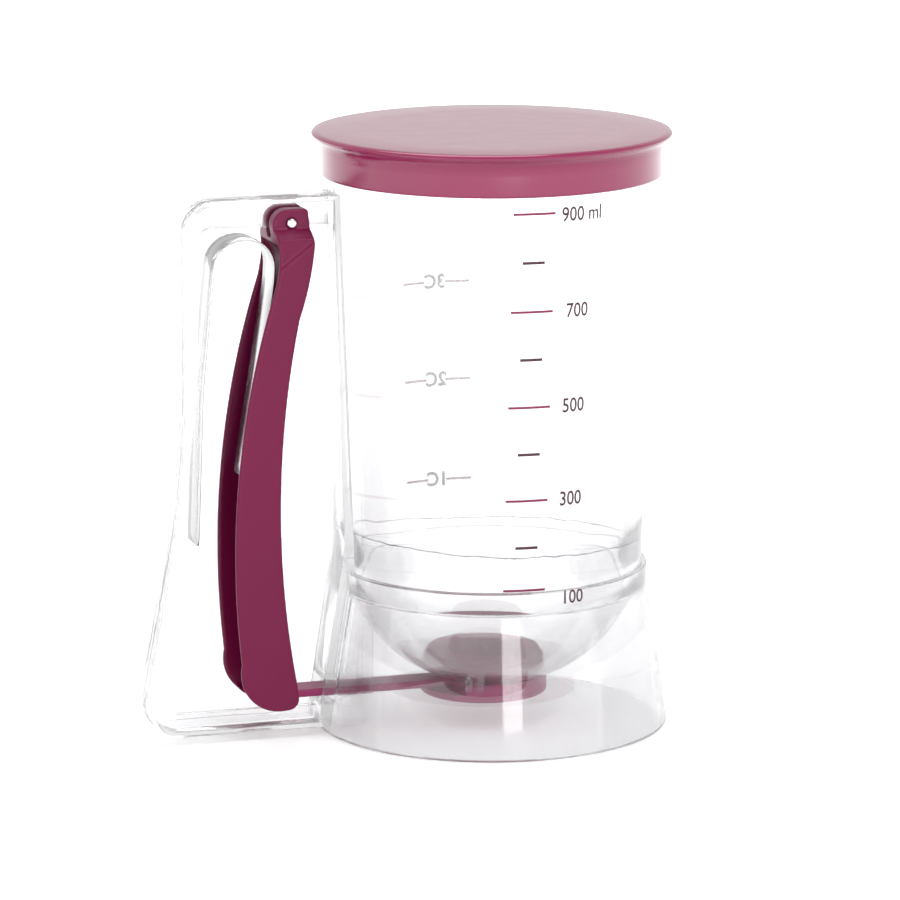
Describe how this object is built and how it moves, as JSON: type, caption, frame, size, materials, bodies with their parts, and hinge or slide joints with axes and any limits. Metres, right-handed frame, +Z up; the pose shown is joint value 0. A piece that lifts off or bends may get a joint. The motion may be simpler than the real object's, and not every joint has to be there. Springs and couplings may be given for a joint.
{
  "type": "pancake batter dispenser",
  "caption": "Clear handheld batter dispenser with a push-on lid, a sprung trigger in the handle loop and a sliding gate under the bowl.",
  "frame": {"origin": "centre of the base ring, on the face it stands on", "axes": "+Z up along the vessel, handle along -X, +Y to the left of someone holding the handle and looking along +X"},
  "size_m": [0.1664, 0.1096, 0.184],
  "materials": {
    "clear_plastic": "clear, polished",
    "magenta_plastic": "satin gloss",
    "seal_rubber": "satin",
    "bright_steel": "rolled strip and drawn pin, bright"
  },
  "bodies": {
    "vessel": {"vessel_tube": "clear_plastic", "bowl": "clear_plastic", "base_skirt": "clear_plastic", "handle_frame": "clear_plastic", "pivot_pin": "bright_steel", "return_spring": "bright_steel", "seat_ring": "seal_rubber"},
    "lid": {"lid": "magenta_plastic"},
    "trigger": {"trigger": "magenta_plastic"},
    "gate": {"gate_slide": "magenta_plastic"},
    "collar": {"valve_collar": "magenta_plastic"}
  },
  "joints": [
    {"name": "lid_lift", "type": "slide", "parent": "vessel", "child": "lid", "axis": [0, 0, 1], "range_m": [0, 0.04]},
    {"name": "trigger_pivot", "type": "hinge", "parent": "vessel", "child": "trigger", "pos_m": [-0.0649, 0, 0.1592], "axis": [0, 1, 0], "range_deg": [0, 8.8], "stiffness_Nm_per_rad": 5, "springref_deg": -3.44, "deforming": ["return_spring"]},
    {"name": "gate_travel", "type": "slide", "parent": "vessel", "child": "gate", "axis": [-1, 0, 0], "range_m": [0, 0.0221]},
    {"name": "collar_twist", "type": "hinge", "parent": "vessel", "child": "collar", "pos_m": [-0.0025, 0, 0.0124], "axis": [0, 0, 1], "range_deg": [0, 25]}
  ],
  "couplings": [
    {"joint": "gate_travel", "follows": "trigger_pivot", "m_per_rad": 0.1436}
  ]
}
